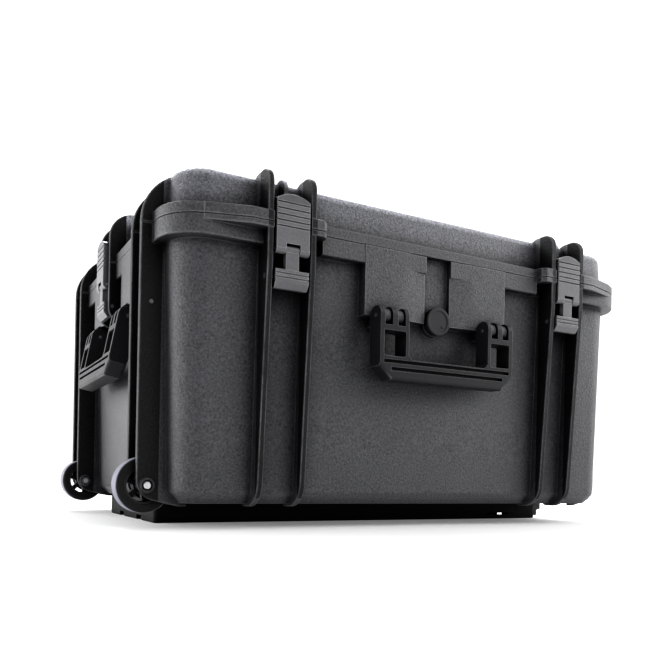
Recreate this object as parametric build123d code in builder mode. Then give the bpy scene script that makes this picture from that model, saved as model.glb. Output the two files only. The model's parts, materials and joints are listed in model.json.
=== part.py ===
from build123d import *
import os
from math import cos, sin, radians

# Wheeled transport case for a drone, closed, standing on its under-base block.
# Frame: origin on the floor under the middle of the case, +X along the length
# towards the pull-handle end, -Y the latched front, +Z up, millimetres.

os.makedirs("parts", exist_ok=True)

# ---------------------------------------------------------------- dimensions
L_TOP = 627.0            # body length at the parting plane
W_TOP = 469.0            # body width at the parting plane
R_CORNER = 38.0          # vertical corner radius
DRAFT = 1.5              # wall draft of the base, degrees
LID_DRAFT = 4.0          # wall draft of the lid, degrees
WALL = 4.0
Z_BASE = 27.0            # underside of the base
Z_PART = 316.0           # top face of the base
GAP = 0.3                # lid stands this far above the base face
Z_LID0 = Z_PART + GAP
Z_LID1 = 370.5           # lid top plane
CH_BOTTOM = 12.0         # chamfer round the bottom of the base

RIM_L, RIM_W, RIM_R = 652.0, 493.0, 47.0     # rim outline
RIM_D = RIM_W / 2        # rim distance from the centre, front and back
RIM_DS = RIM_L / 2       # rim distance from the centre, left and right
LID_FLANGE = 11.7        # height of the lid flange
BASE_FLANGE = 6.0        # thin flange of the base beside the latches
APRON = 20.0             # height of the base rim apron
STEP_D = 260.0           # flange distance where it steps out round a latch

RIB_T = 6.5
RIB_X = (173.5, 222.8)   # ribs of the long faces
RIB_D = 259.0            # their front edge
RIB_Y = (150.0, 187.5)   # ribs of the end faces
RIB_DS = 338.0           # their outer edge at the wheel end
RIGHT_DS = 331.5         # their outer edge at the other end
LATCH_X = (RIB_X[0] + RIB_X[1]) / 2
CHANNEL = (RIB_X[1] - RIB_X[0] - RIB_T) / 2  # half width between a rib pair
EAR_Y = 24.5             # latch ears of the end faces
EAR_T = 6.0
EAR_DS = 335.0

LATCH_W = 38.0
LINK_PIVOT = (4.5, 262.0)    # from the rim face, height
LEVER_PIVOT = (9.5, 290.5)

HANDLE_HALF = 95.0
HANDLE_T = 22.0
HANDLE_PIVOT = (258.5, 236.0)     # front handle
SIDE_PIVOT = (327.0, 238.0)       # end handles
SIDE_TILT = 11.0                  # the left handle stands off this far

WHEEL_X, WHEEL_Y, WHEEL_Z = -327.0, 168.75, 45.0
WHEEL_R = 29.5
WHEEL_W = 24.0
CORNER_PIN_Z = 235.0
AXLE_R = 3.0
RUN = 0.05                # radial clearance of turning fits

HINGE_D = 256.0           # hinge axis, behind the body
HINGE_R = 9.0
PIN_R = 3.0

VALVE_Z = 242.0
BOX_L, BOX_W = 594.0, 224.0       # under-base block
TUBE_Y, TUBE_Z, TUBE_R = 85.0, 14.0, 7.0
TUBE_X0, TUBE_X1 = -85.0, 307.0


# ------------------------------------------------------------------- helpers
# Canonical pieces look along +X: x is the distance outwards, y runs along the
# face and z is up. FRONT, REAR, LEFT and RIGHT turn them to their face.
def front(u=0.0, d=0.0, z=0.0):
    return Location((u, -d, z), (0, 0, -90))


def rear(u=0.0, d=0.0, z=0.0):
    return Location((u, d, z), (0, 0, 90))


def left(u=0.0, d=0.0, z=0.0):
    return Location((-d, u, z), (0, 0, 180))


def right(u=0.0, d=0.0, z=0.0):
    return Location((d, u, z), (0, 0, 0))


def rib(points, rounds, thickness, soft, reach):
    """Flat rib from a profile of (outward, up) points.

    rounds lists (near point, radius); soft rounds the long edges of the
    stretch that lies further out than reach."""
    with BuildPart() as r:
        with BuildSketch(Plane.XZ) as s:
            with BuildLine():
                Polyline(*points, close=True)
            make_face()
            for near, radius in rounds:
                fillet(s.vertices().sort_by_distance((near[0], near[1], 0))[0], radius)
        extrude(amount=thickness / 2, both=True)
        if soft:
            edges = r.faces().filter_by(Axis.Y).edges().filter_by(
                lambda e: e.center().X > reach)
            fillet(edges, soft)
    return r.part


# plan outline of the flange where it steps out round the front latches
with BuildSketch() as step_plan:
    for s in (-1, 1):
        with BuildLine():
            Polyline((s * 156, -238), (s * 156, -(STEP_D - 5)),
                     (s * 161, -STEP_D), (s * 243, -STEP_D),
                     (s * 290, -RIM_D), (s * 290, -238), close=True)
        make_face()


# ---------------------------------------------------- profiles of the ribs
base_long_rib = rib(
    [(200, Z_PART), (RIB_D, Z_PART), (RIB_D, 281), (242, 24), (206, 24), (200, 28)],
    [((242, 24), 28), ((RIB_D, 281), 40)], RIB_T, 1.4, 236)
lid_long_rib = rib(
    [(205, Z_LID0), (RIB_D, Z_LID0), (RIB_D, 373.8), (229, 373.8), (213, 369), (203, 369),
     (203, 340)],
    [((RIB_D, 373.8), 17), ((229, 373.8), 10)], RIB_T, 1.4, 215)
lid_mid_rib = rib(
    [(205, 338), (241, 338), (241, 372.6), (226, 372.6), (210, 369), (205, 369)],
    [((241, 372.6), 13), ((226, 372.6), 6)], 5.4, 1.2, 214)
lid_rear_rib = rib(
    [(205, 336), (239, 336), (239, 373.8), (216, 373.8), (203, 369), (192, 369), (192, 340)],
    [((239, 373.8), 15), ((216, 373.8), 8)], RIB_T, 1.4, 205)


def base_end(d):
    return rib([(285, Z_PART), (d, Z_PART), (d, 33), (293, 23), (285, 23)],
               [((d, 33), 22)], RIB_T, 1.4, 312)


def lid_end(d):
    return rib([(285, Z_LID0), (d, Z_LID0), (d, 373.4), (d - 62, 373.4), (d - 76, 369),
                (d - 76, 340)],
               [((d, 373.4), 56), ((d - 62, 373.4), 4)], RIB_T, 1.4, 290)


# the ribs of the wheel end stand out further than those of the other end
base_end_rib, base_right_rib = base_end(RIB_DS), base_end(RIGHT_DS)
lid_end_rib, lid_right_rib = lid_end(RIB_DS), lid_end(RIGHT_DS)
base_ear = rib(
    [(300, Z_PART), (EAR_DS, Z_PART), (EAR_DS, 244), (300, 244)],
    [((EAR_DS, 244), 16)], EAR_T, 1.2, 318)
lid_ear = rib(
    [(285, Z_LID0), (EAR_DS, Z_LID0), (EAR_DS, 379), (301, 379), (279, 369), (270, 369),
     (270, 340)],
    [((EAR_DS, 379), 31), ((301, 379), 10)], EAR_T, 1.2, 288)

# bracket fingers that carry the swing handles
finger_front = rib([(-30, -8.5), (8.5, -8.5), (8.5, 8.5), (-30, 8.5)],
                   [((8.5, -8.5), 8.4), ((8.5, 8.5), 8.4)], 8.8, 1.0, -6)
finger_end = rib([(-22, -8.5), (8.5, -8.5), (8.5, 8.5), (0, 16), (-22, 16)],
                 [((8.5, -8.5), 8.4), ((8.5, 8.5), 7)], 8.8, 1.0, -3)
FINGERS = (67.0, 84.0)


# ------------------------------------------------------------------ the base
with BuildPart() as base_cavity:
    with BuildSketch(Plane.XY.offset(Z_PART + 1)):
        RectangleRounded(L_TOP - 2 * WALL, W_TOP - 2 * WALL, R_CORNER - WALL)
    extrude(amount=-(Z_PART + 1 - Z_BASE - WALL), taper=DRAFT)
    fillet(base_cavity.faces().sort_by(Axis.Z)[0].edges(), 12)
    # the wheel wells bulge into the inside
    with Locations((WHEEL_X, WHEEL_Y, WHEEL_Z), (WHEEL_X, -WHEEL_Y, WHEEL_Z)):
        Cylinder(WHEEL_R + 7, 39, rotation=(90, 0, 0), mode=Mode.SUBTRACT)

with BuildPart() as rim_blank:
    # rim apron, the thin flange above it and the step round the latches
    with BuildSketch(Plane.XY.offset(Z_PART - APRON)):
        RectangleRounded(RIM_L, RIM_W, RIM_R)
    extrude(amount=APRON)
    fillet(rim_blank.faces().sort_by(Axis.Z)[0].edges(), 2.2)
    fillet(rim_blank.faces().sort_by(Axis.Z)[-1].edges(), 1.2)
    with Locations((LATCH_X - 10, -RIM_D, Z_PART - APRON / 2 - BASE_FLANGE / 2),
                   (-LATCH_X + 10, -RIM_D, Z_PART - APRON / 2 - BASE_FLANGE / 2)):
        Box(64, 22.6, APRON - BASE_FLANGE, mode=Mode.SUBTRACT)

with BuildPart() as flange_base:
    with BuildSketch(Plane.XY.offset(Z_PART - BASE_FLANGE)):
        add(step_plan.sketch)
    extrude(amount=BASE_FLANGE)
    fillet(flange_base.edges().filter_by(
        lambda e: e.center().Y < -247.5 and abs(e.center().Z - Z_PART + 3) > 1), 1.2)

with BuildPart() as base_shell:
    with BuildSketch(Plane.XY.offset(Z_PART)):
        RectangleRounded(L_TOP, W_TOP, R_CORNER)
    extrude(amount=-(Z_PART - Z_BASE), taper=DRAFT)
    chamfer(base_shell.faces().sort_by(Axis.Z)[0].edges(), CH_BOTTOM)
    fillet(base_shell.edges().filter_by(
        lambda e: abs(e.center().Z - Z_BASE - CH_BOTTOM) < 1.0), 6)
    add(rim_blank.part)
    add(flange_base.part)
    # apron blocks above the front handle, channel floor between them
    with BuildSketch(Plane.XY.offset(238)):
        for s in (-1, 1):
            with BuildLine():
                Polyline((s * 18, -226), (s * 18, -243.5), (s * 50, -247), (s * 102, -247),
                         (s * 102, -226), close=True)
            make_face()
        with Locations((0, -231)):
            Rectangle(38, 14)
    extrude(amount=Z_PART - APRON + 10 - 238)
    with BuildSketch(Plane.XY.offset(Z_PART - 12)):
        for s in (-1, 1):
            with BuildLine():
                Polyline((s * 18, -226), (s * 18, -243.5), (s * 50, -247), (s * 102, -247),
                         (s * 102, -226), close=True)
            make_face()
    extrude(amount=12)
    # shallow recess of the channel under the lid flange
    with Locations((0, -246, Z_PART - 13)):
        Box(36, 16, 27, mode=Mode.SUBTRACT)
    # apron blocks above the end handles
    with BuildSketch(Plane.XY.offset(252)):
        for sx in (-1, 1):
            for sy in (-1, 1):
                with BuildLine():
                    Polyline((sx * 304, sy * 38), (sx * 322.5, sy * 38),
                             (sx * RIM_DS, sy * 57), (sx * RIM_DS, sy * 102),
                             (sx * 304, sy * 102), close=True)
                make_face()
    extrude(amount=Z_PART - 252 - 3)
    # ribs of the long faces, front and back
    with Locations(*[front(s * x) for s in (-1, 1) for x in RIB_X],
                   *[rear(s * x) for s in (-1, 1) for x in RIB_X]):
        add(base_long_rib)
    # ribs and latch ears of the end faces
    with Locations(*[left(s * y) for s in (-1, 1) for y in RIB_Y]):
        add(base_end_rib)
    with Locations(*[right(s * y) for s in (-1, 1) for y in RIB_Y]):
        add(base_right_rib)
    with Locations(*[left(s * EAR_Y) for s in (-1, 1)],
                   *[right(s * EAR_Y) for s in (-1, 1)]):
        add(base_ear)
    # handle bracket fingers
    with Locations(*[front(s * y, *HANDLE_PIVOT) for s in (-1, 1) for y in FINGERS]):
        add(finger_front)
    with Locations(*[left(s * y, *SIDE_PIVOT) for s in (-1, 1) for y in FINGERS],
                   *[right(s * y, *SIDE_PIVOT) for s in (-1, 1) for y in FINGERS]):
        add(finger_end)
    # round seat of the pressure valve
    with Locations((0, -235, VALVE_Z)):
        Cylinder(17, 9, rotation=(90, 0, 0))
    # hinge eyes round the pin, one on each rear rib
    with Locations(*[(s * x, HINGE_D, Z_PART) for s in (-1, 1) for x in RIB_X]):
        Cylinder(HINGE_R + 0.5, RIB_T, rotation=(0, 90, 0))
    # axle bosses on the outer faces of the wheel ribs
    with Locations(*[(WHEEL_X, s * (RIB_Y[1] + RIB_T / 2 + 1), WHEEL_Z) for s in (-1, 1)],
                   *[(WHEEL_X, s * (RIB_Y[0] - RIB_T / 2 - 1), WHEEL_Z) for s in (-1, 1)]):
        Cylinder(7.6, 2, rotation=(90, 0, 0))
    # channels between rib pairs, where latches and hinge knuckles sit
    with Locations(*[(s * LATCH_X, -(RIM_D + 8), Z_PART - 20) for s in (-1, 1)],
                   *[(s * LATCH_X, RIM_D + 8, Z_PART - 20) for s in (-1, 1)]):
        Box(2 * CHANNEL, 38.6, 42, mode=Mode.SUBTRACT)
    with Locations(*[(s * (RIM_DS + 6.5), 0, Z_PART - 35) for s in (-1, 1)]):
        Box(36, 2 * EAR_Y - EAR_T, 72, mode=Mode.SUBTRACT)
    add(base_cavity.part, mode=Mode.SUBTRACT)
    # inner ledge under the seal
    with BuildSketch(Plane.XY.offset(Z_PART - 10)):
        RectangleRounded(622, 464, 36)
        RectangleRounded(604, 446, 28, mode=Mode.SUBTRACT)
    extrude(amount=10)
    # wheel wells
    with Locations(*[(WHEEL_X, s * WHEEL_Y, WHEEL_Z) for s in (-1, 1)]):
        Cylinder(WHEEL_R + 2.5, RIB_Y[1] - RIB_Y[0] - RIB_T, rotation=(90, 0, 0),
                 mode=Mode.SUBTRACT)
    # recess round each bolt head
    with Locations(*[(WHEEL_X, s * (RIB_Y[1] + RIB_T / 2 + 1.2), WHEEL_Z) for s in (-1, 1)]):
        Cylinder(5.6, 1.6, rotation=(90, 0, 0), mode=Mode.SUBTRACT)
    # bores: axles, hinge pins, latch pins, handle pins, corner pins, valve
    with Locations(*[(WHEEL_X, s * WHEEL_Y, WHEEL_Z) for s in (-1, 1)]):
        Cylinder(AXLE_R, 60, rotation=(90, 0, 0), mode=Mode.SUBTRACT)
    with Locations(*[(s * LATCH_X, HINGE_D, Z_PART) for s in (-1, 1)]):
        Cylinder(PIN_R, 70, rotation=(0, 90, 0), mode=Mode.SUBTRACT)
    with Locations(*[(s * LATCH_X, -(RIM_D + LINK_PIVOT[0]), LINK_PIVOT[1]) for s in (-1, 1)]):
        Cylinder(1.8, 60, rotation=(0, 90, 0), mode=Mode.SUBTRACT)
    with Locations(*[(s * (RIM_DS + LINK_PIVOT[0]), 0, LINK_PIVOT[1]) for s in (-1, 1)]):
        Cylinder(1.8, 60, rotation=(90, 0, 0), mode=Mode.SUBTRACT)
    with Locations((0, -HANDLE_PIVOT[0], HANDLE_PIVOT[1])):
        Cylinder(2.0, 200, rotation=(0, 90, 0), mode=Mode.SUBTRACT)
    with Locations(*[(s * SIDE_PIVOT[0], 0, SIDE_PIVOT[1]) for s in (-1, 1)]):
        Cylinder(2.0, 200, rotation=(90, 0, 0), mode=Mode.SUBTRACT)
    with Locations(*[(sx * 326, sy * WHEEL_Y, CORNER_PIN_Z) for sx in (-1, 1) for sy in (-1, 1)]):
        Cylinder(1.6, 60, rotation=(90, 0, 0), mode=Mode.SUBTRACT)
    with Locations((0, -234, VALVE_Z)):
        Cylinder(9, 24, rotation=(90, 0, 0), mode=Mode.SUBTRACT)
    # blind screw holes in the underside
    with Locations(*[(x, s * 101, Z_BASE + 1.5) for x in (-280, -10, 250) for s in (-1, 1)]):
        Cylinder(2.5, 3.4, mode=Mode.SUBTRACT)
base_shell.part.label = "base_shell"

# ------------------------------------------------------------------- the lid
with BuildPart() as lid_cavity:
    with BuildSketch(Plane.XY.offset(Z_LID0 - 1)):
        RectangleRounded(624 - 2 * WALL, 466 - 2 * WALL, R_CORNER - WALL)
    extrude(amount=Z_LID1 - WALL - Z_LID0 + 1, taper=LID_DRAFT)
    fillet(lid_cavity.faces().sort_by(Axis.Z)[-1].edges(), 5)

with BuildPart() as lid_rim:
    with BuildSketch(Plane.XY.offset(Z_LID0)):
        RectangleRounded(RIM_L, RIM_W, RIM_R)
    extrude(amount=LID_FLANGE)
    fillet(lid_rim.faces().sort_by(Axis.Z)[-1].edges(), 2.4)
    fillet(lid_rim.faces().sort_by(Axis.Z)[0].edges(), 1.2)

with BuildPart() as lid_step:
    with BuildSketch(Plane.XY.offset(Z_LID0)):
        add(step_plan.sketch)
    extrude(amount=LID_FLANGE)
    fillet(lid_step.edges().filter_by(
        lambda e: e.center().Y < -247.5 and e.center().Z > Z_LID0 + LID_FLANGE - 1), 2.4)
    fillet(lid_step.edges().filter_by(
        lambda e: e.center().Y < -247.5 and e.center().Z < Z_LID0 + 1), 1.2)

with BuildPart() as knuckle:
    # hinge knuckle of the lid, canonical, axis along y at the origin
    with BuildSketch(Plane.XZ):
        Circle(HINGE_R)
        with BuildLine():
            Polyline((-26, 2.2), (-26, 15), (-6, 12.5), (6, 6.5), (0, 2.2), close=True)
        make_face()
    extrude(amount=CHANNEL - 0.5, both=True)
    Cylinder(PIN_R + RUN, 60, rotation=(90, 0, 0), mode=Mode.SUBTRACT)

with BuildPart() as lid_shell:
    with BuildSketch(Plane.XY.offset(Z_LID0)):
        RectangleRounded(624, 466, R_CORNER)
    extrude(amount=Z_LID1 - Z_LID0, taper=LID_DRAFT)
    fillet(lid_shell.faces().sort_by(Axis.Z)[-1].edges(), 9)
    # shallow stacking panel pressed into the lid top
    with BuildSketch(Plane.XY.offset(Z_LID1 - 1.2)):
        RectangleRounded(270, 300, 22)
    extrude(amount=5, mode=Mode.SUBTRACT)
    add(lid_rim.part)
    add(lid_step.part)
    # the flange gives way to the hinge eyes, and to the latches in front
    with Locations(*[(s * LATCH_X, RIM_D + 8, Z_LID0 + 6) for s in (-1, 1)]):
        Box(RIB_X[1] - RIB_X[0] + 2 * 5.5, 40, 13.2, mode=Mode.SUBTRACT)
    with Locations(*[front(s * x) for s in (-1, 1) for x in RIB_X]):
        add(lid_long_rib)
    with Locations(*[front(s * LATCH_X) for s in (-1, 1)]):
        add(lid_mid_rib)
    with Locations(*[rear(s * x) for s in (-1, 1) for x in RIB_X]):
        add(lid_rear_rib)
    with Locations(*[left(s * y) for s in (-1, 1) for y in RIB_Y]):
        add(lid_end_rib)
    with Locations(*[right(s * y) for s in (-1, 1) for y in RIB_Y]):
        add(lid_right_rib)
    with Locations(*[left(s * EAR_Y) for s in (-1, 1)],
                   *[right(s * EAR_Y) for s in (-1, 1)]):
        add(lid_ear)
    with Locations(*[(s * LATCH_X, -(RIM_D + 8), Z_LID0 + 6) for s in (-1, 1)]):
        Box(2 * CHANNEL, 40, 13.2, mode=Mode.SUBTRACT)
    with Locations(*[(s * (RIM_DS + 8), 0, Z_LID0 + 6) for s in (-1, 1)]):
        Box(40, 2 * EAR_Y - EAR_T, 13.2, mode=Mode.SUBTRACT)
    # catch blocks the latch levers close against
    with Locations(*[(s * LATCH_X, -(RIM_D - 6), 336) for s in (-1, 1)]):
        Box(30, 28, 12)
    with Locations(*[(s * (RIM_DS - 6), 0, 336) for s in (-1, 1)]):
        Box(28, 30, 12)
    with Locations(*[rear(s * LATCH_X, HINGE_D, Z_PART) for s in (-1, 1)]):
        add(knuckle.part)
    add(lid_cavity.part, mode=Mode.SUBTRACT)
    # inner ledge with the seal groove
    with BuildSketch(Plane.XY.offset(Z_LID0)):
        RectangleRounded(620, 462, 36)
        RectangleRounded(604, 446, 28, mode=Mode.SUBTRACT)
    extrude(amount=9)
    with BuildSketch(Plane.XY.offset(Z_LID0)):
        RectangleRounded(619, 461, 35.5)
        RectangleRounded(610, 452, 31, mode=Mode.SUBTRACT)
    extrude(amount=3.7, mode=Mode.SUBTRACT)
lid_shell.part.label = "lid_shell"

with BuildPart() as seal_ring:
    with BuildSketch(Plane.XY.offset(Z_LID0)):
        RectangleRounded(619, 461, 35.5)
        RectangleRounded(610, 452, 31, mode=Mode.SUBTRACT)
    extrude(amount=3.7)
    fillet(seal_ring.faces().sort_by(Axis.Z)[0].edges(), 1.2)
seal_ring.part.label = "seal_ring"

# ------------------------------------------------------------ soft lining
with BuildPart() as foam_bottom_pad:
    with BuildSketch(Plane.XY.offset(Z_BASE + WALL + 0.3)):
        RectangleRounded(2 * 286.5, 2 * 211, 22)
    extrude(amount=28)
foam_bottom_pad.part.label = "foam_bottom_pad"

with BuildPart() as foam_insert:
    with BuildSketch(Plane.XY.offset(300)):
        RectangleRounded(2 * 300.5, 2 * 221.5, 27)
    extrude(amount=-240.2, taper=DRAFT)
    with Locations(*[(WHEEL_X, s * WHEEL_Y, WHEEL_Z) for s in (-1, 1)]):
        Cylinder(WHEEL_R + 8.5, 43, rotation=(90, 0, 0), mode=Mode.SUBTRACT)
    # aircraft pocket
    with BuildSketch(Plane.XY.offset(300)):
        with Locations((-100, 0)):
            RectangleRounded(330, 370, 28)
    extrude(amount=-200, mode=Mode.SUBTRACT)
    # controller pocket
    with BuildSketch(Plane.XY.offset(300)):
        with Locations((182, 105)):
            RectangleRounded(190, 165, 22)
    extrude(amount=-130, mode=Mode.SUBTRACT)
    # four battery pockets
    with BuildSketch(Plane.XY.offset(300)):
        with Locations((182, -100)):
            with GridLocations(101, 92, 2, 2):
                RectangleRounded(86, 74, 10)
    extrude(amount=-150, mode=Mode.SUBTRACT)
foam_insert.part.label = "foam_insert"

with BuildPart() as foam_lid:
    with BuildSketch(Plane.XY.offset(320)):
        RectangleRounded(2 * 299, 2 * 220, 26)
    extrude(amount=Z_LID1 - WALL - 320.2)
    chamfer(foam_lid.faces().sort_by(Axis.Z)[-1].edges(), 4)
foam_lid.part.label = "foam_lid"

# ------------------------------------------------------------ swing handles
with BuildPart() as handle:
    h, t = HANDLE_HALF, HANDLE_T / 2     # half width, half thickness
    with BuildSketch(Plane.YZ):
        with BuildLine():
            Polyline((-h, t), (-h, -56), (-h + 15, -71), (h - 15, -71), (h, -56), (h, t),
                     (57, t), (57, -42), (52, -47), (-52, -47), (-57, -42), (-57, t),
                     close=True)
        make_face()
    extrude(amount=t, both=True)
    # arm ends rounded round the pivot, grip and outer edges softened
    fillet(handle.edges().filter_by(Axis.Y).filter_by(
        lambda e: e.center().Z > t - 0.5), t - 0.1)
    fillet(handle.edges().filter_by(
        lambda e: e.center().Z < -55 and abs(e.center().X) > t - 0.5), 4)
    # slots for the bracket fingers
    with Locations(*[(0, s * y, 0.25) for s in (-1, 1) for y in (67, 84)]):
        Box(30, 10, 21.5, mode=Mode.SUBTRACT)
    # open windows of the arms
    with BuildSketch(Plane.YZ.offset(-t - 1)):
        for s in (-1, 1):
            with Locations((s * 75.5, -30.5)):
                RectangleRounded(29, 28, 2)
    extrude(amount=2 * t + 2, mode=Mode.SUBTRACT)
    # two finger grooves along the face of the grip
    with Locations((t - 0.5, 0, -50.4)):
        Box(6, 2 * h - 10, 3.8, mode=Mode.SUBTRACT)
    with Locations((t - 0.5, 0, -58.6)):
        Box(6, 2 * h - 30, 3.8, mode=Mode.SUBTRACT)
    Cylinder(2.0 + RUN, 200, rotation=(90, 0, 0), mode=Mode.SUBTRACT)

with BuildPart() as front_handle:
    with Locations(front(0, *HANDLE_PIVOT)):
        add(handle.part)
front_handle.part.label = "front_handle"

with BuildPart() as left_handle:
    with Locations(left(0, *SIDE_PIVOT) * Location((0, 0, 0), (0, -SIDE_TILT, 0))):
        add(handle.part)
left_handle.part.label = "left_handle"

with BuildPart() as right_handle:
    with Locations(right(0, *SIDE_PIVOT)):
        add(handle.part)
right_handle.part.label = "right_handle"

with BuildPart() as handle_pins:
    with Locations(*[(s * 76, -HANDLE_PIVOT[0], HANDLE_PIVOT[1]) for s in (-1, 1)]):
        Cylinder(2.0, 37, rotation=(0, 90, 0))
    with Locations(*[(sx * SIDE_PIVOT[0], sy * 76, SIDE_PIVOT[1])
                     for sx in (-1, 1) for sy in (-1, 1)]):
        Cylinder(2.0, 37, rotation=(90, 0, 0))
handle_pins.part.label = "handle_pins"

# ------------------------------------------------------------------ latches
# Canonical: x from the rim face, y along the face, z height.
LP, VP = LINK_PIVOT, LEVER_PIVOT
with BuildPart() as latch_link:
    # cross bar with its barrel, ridged at the top and sloped in below
    with BuildSketch(Plane.XZ):
        with BuildLine():
            Polyline((0.2, 269.5), (13.2, 269.5), (13.2, 256.5), (8.6, 250.2), (4.0, 250.2),
                     (0.2, 256), close=True)
        make_face()
    extrude(amount=LATCH_W / 2, both=True)
    fillet(latch_link.edges().filter_by(Axis.Y), 1.2)
    with Locations((14.3, 0, 265.2), (14.3, 0, 261.0)):
        Box(4, LATCH_W + 2, 1.5, mode=Mode.SUBTRACT)
    # strap and its eye in the notch of the lever
    with BuildSketch(Plane.XZ):
        with BuildLine():
            Polyline((VP[0] - 3.2, 266), (VP[0] + 3.0, 266), (VP[0] + 3.0, VP[1]),
                     (VP[0] - 3.2, VP[1]), close=True)
        make_face()
        with Locations(VP):
            Circle(4.3)
    extrude(amount=7.4, both=True)
    with Locations((LP[0], 0, LP[1])):
        Cylinder(1.8 + RUN, 60, rotation=(90, 0, 0), mode=Mode.SUBTRACT)
    with Locations((VP[0], 0, VP[1])):
        Cylinder(1.6 + RUN, 60, rotation=(90, 0, 0), mode=Mode.SUBTRACT)

with BuildPart() as latch_lever:
    # face plate with an arched top
    with BuildSketch(Plane.YZ.offset(VP[0])) as s:
        with BuildLine():
            l1 = Polyline((-19, 341), (-19, VP[1]), (19, VP[1]), (19, 341))
            ThreePointArc((19, 341), (0, 347), (-19, 341))
        make_face()
    extrude(amount=5.2)
    fillet(latch_lever.edges().filter_by(
        lambda e: e.center().X > VP[0] + 5 and e.center().Z > VP[1] + 1), 0.9)
    # barrels round the lever pin
    with Locations((VP[0], 0, VP[1])):
        Cylinder(5.0, LATCH_W, rotation=(90, 0, 0))
    # side cheeks behind the plate
    with Locations(*[(VP[0] - 1.8, s * 17.6, 318) for s in (-1, 1)]):
        Box(4.4, 2.8, 50)
    # notch for the eye of the link
    with Locations((VP[0], 0, VP[1] - 2)):
        Box(16, 16.2, 14.6, mode=Mode.SUBTRACT)
    # ridges: grooves across the upper half, recessed field under the arch
    with Locations(*[(VP[0] + 5.4, 0, z) for z in (337.3, 331.0, 324.8, 318.8, 313.0)]):
        Box(2.8, LATCH_W + 2, 1.5, mode=Mode.SUBTRACT)
    with Locations((VP[0], 0, VP[1])):
        Cylinder(1.6, 60, rotation=(90, 0, 0), mode=Mode.SUBTRACT)

LATCHES = {
    "front_left": front(-LATCH_X, RIM_D),
    "front_right": front(LATCH_X, RIM_D),
    "left_end": left(0, RIM_DS),
    "right_end": right(0, RIM_DS),
}
latch_parts = []
for name, place in LATCHES.items():
    with BuildPart() as link:
        with Locations(place):
            add(latch_link.part)
    link.part.label = name + "_latch_link"
    with BuildPart() as lever:
        with Locations(place):
            add(latch_lever.part)
    lever.part.label = name + "_latch_lever"
    with BuildPart() as lever_pin:
        with Locations(place * Location((VP[0], 0, VP[1]))):
            Cylinder(1.6, LATCH_W - 1, rotation=(90, 0, 0))
    lever_pin.part.label = name + "_lever_pin"
    latch_parts += [link, lever, lever_pin]

with BuildPart() as latch_pins:
    with Locations(*[p * Location((LP[0], 0, LP[1]))
                     for n, p in LATCHES.items() if n.startswith("front")]):
        Cylinder(1.8, 55, rotation=(90, 0, 0))
    with Locations(*[p * Location((LP[0], 0, LP[1]))
                     for n, p in LATCHES.items() if n.endswith("end")]):
        Cylinder(1.8, 54, rotation=(90, 0, 0))
latch_pins.part.label = "latch_pins"

# ------------------------------------------------------------ hinge, corners
with BuildPart() as hinge_pins:
    with Locations(*[(s * LATCH_X, HINGE_D, Z_PART) for s in (-1, 1)]):
        Cylinder(PIN_R, RIB_X[1] - RIB_X[0] + RIB_T, rotation=(0, 90, 0))
hinge_pins.part.label = "hinge_pins"

with BuildPart() as corner_pins:
    with Locations(*[(sx * 326, sy * WHEEL_Y, CORNER_PIN_Z) for sx in (-1, 1) for sy in (-1, 1)]):
        Cylinder(1.6, RIB_Y[1] - RIB_Y[0] + RIB_T, rotation=(90, 0, 0))
    with Locations(*[(sx * 326, sy * (RIB_Y[1] + RIB_T / 2 + 0.5), CORNER_PIN_Z)
                     for sx in (-1, 1) for sy in (-1, 1)]):
        Cylinder(2.1, 1.0, rotation=(90, 0, 0))
corner_pins.part.label = "corner_pins"

# ------------------------------------------------------------------- wheels
with BuildPart() as tyre:
    Cylinder(WHEEL_R, WHEEL_W, rotation=(90, 0, 0))
    fillet(tyre.edges().filter_by(GeomType.CIRCLE), 4)
    Cylinder(20.5, WHEEL_W, rotation=(90, 0, 0), mode=Mode.SUBTRACT)

with BuildPart() as hub:
    Cylinder(20.5, WHEEL_W - 2, rotation=(90, 0, 0))
    with BuildSketch(Plane.XZ.offset(4)):
        Circle(18)
        Circle(8.2, mode=Mode.SUBTRACT)
    extrude(amount=12, mode=Mode.SUBTRACT)
    with BuildSketch(Plane.XZ.offset(-4)):
        Circle(18)
        Circle(8.2, mode=Mode.SUBTRACT)
    extrude(amount=-12, mode=Mode.SUBTRACT)
    with BuildSketch(Plane.XZ.offset(-6)) as windows:
        for k in range(6):
            a = 60 * k + 12
            with BuildLine():
                Polyline(*[(r * cos(radians(a + b)), r * sin(radians(a + b)))
                           for r, b in ((9.8, -14), (17.0, -20), (17.6, 0), (17.0, 20), (9.8, 14))],
                         close=True)
            make_face()
    extrude(amount=12, mode=Mode.SUBTRACT)
    Cylinder(8.2, 30, rotation=(90, 0, 0))
    Cylinder(AXLE_R + RUN, 40, rotation=(90, 0, 0), mode=Mode.SUBTRACT)

wheel_parts = []
for name, s in (("near", -1), ("far", 1)):
    with BuildPart() as w_tyre:
        with Locations((WHEEL_X, s * WHEEL_Y, WHEEL_Z)):
            add(tyre.part)
    w_tyre.part.label = name + "_wheel_tyre"
    with BuildPart() as w_hub:
        with Locations((WHEEL_X, s * WHEEL_Y, WHEEL_Z)):
            add(hub.part)
    w_hub.part.label = name + "_wheel_hub"
    wheel_parts += [w_tyre, w_hub]

with BuildPart() as axle_bolts:
    y_out = RIB_Y[1] + RIB_T / 2 + 0.4
    with Locations(*[(WHEEL_X, s * (y_out + 138) / 2, WHEEL_Z) for s in (-1, 1)]):
        Cylinder(AXLE_R, y_out - 138, rotation=(90, 0, 0))
    with Locations(*[(WHEEL_X, s * (y_out + 1.5), WHEEL_Z) for s in (-1, 1)]):
        Cylinder(4.0, 3, rotation=(90, 0, 0))
    fillet(axle_bolts.edges().filter_by(GeomType.CIRCLE).filter_by(
        lambda e: abs(e.center().Y) > y_out + 2.9), 1.3)
axle_bolts.part.label = "axle_bolts"

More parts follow.
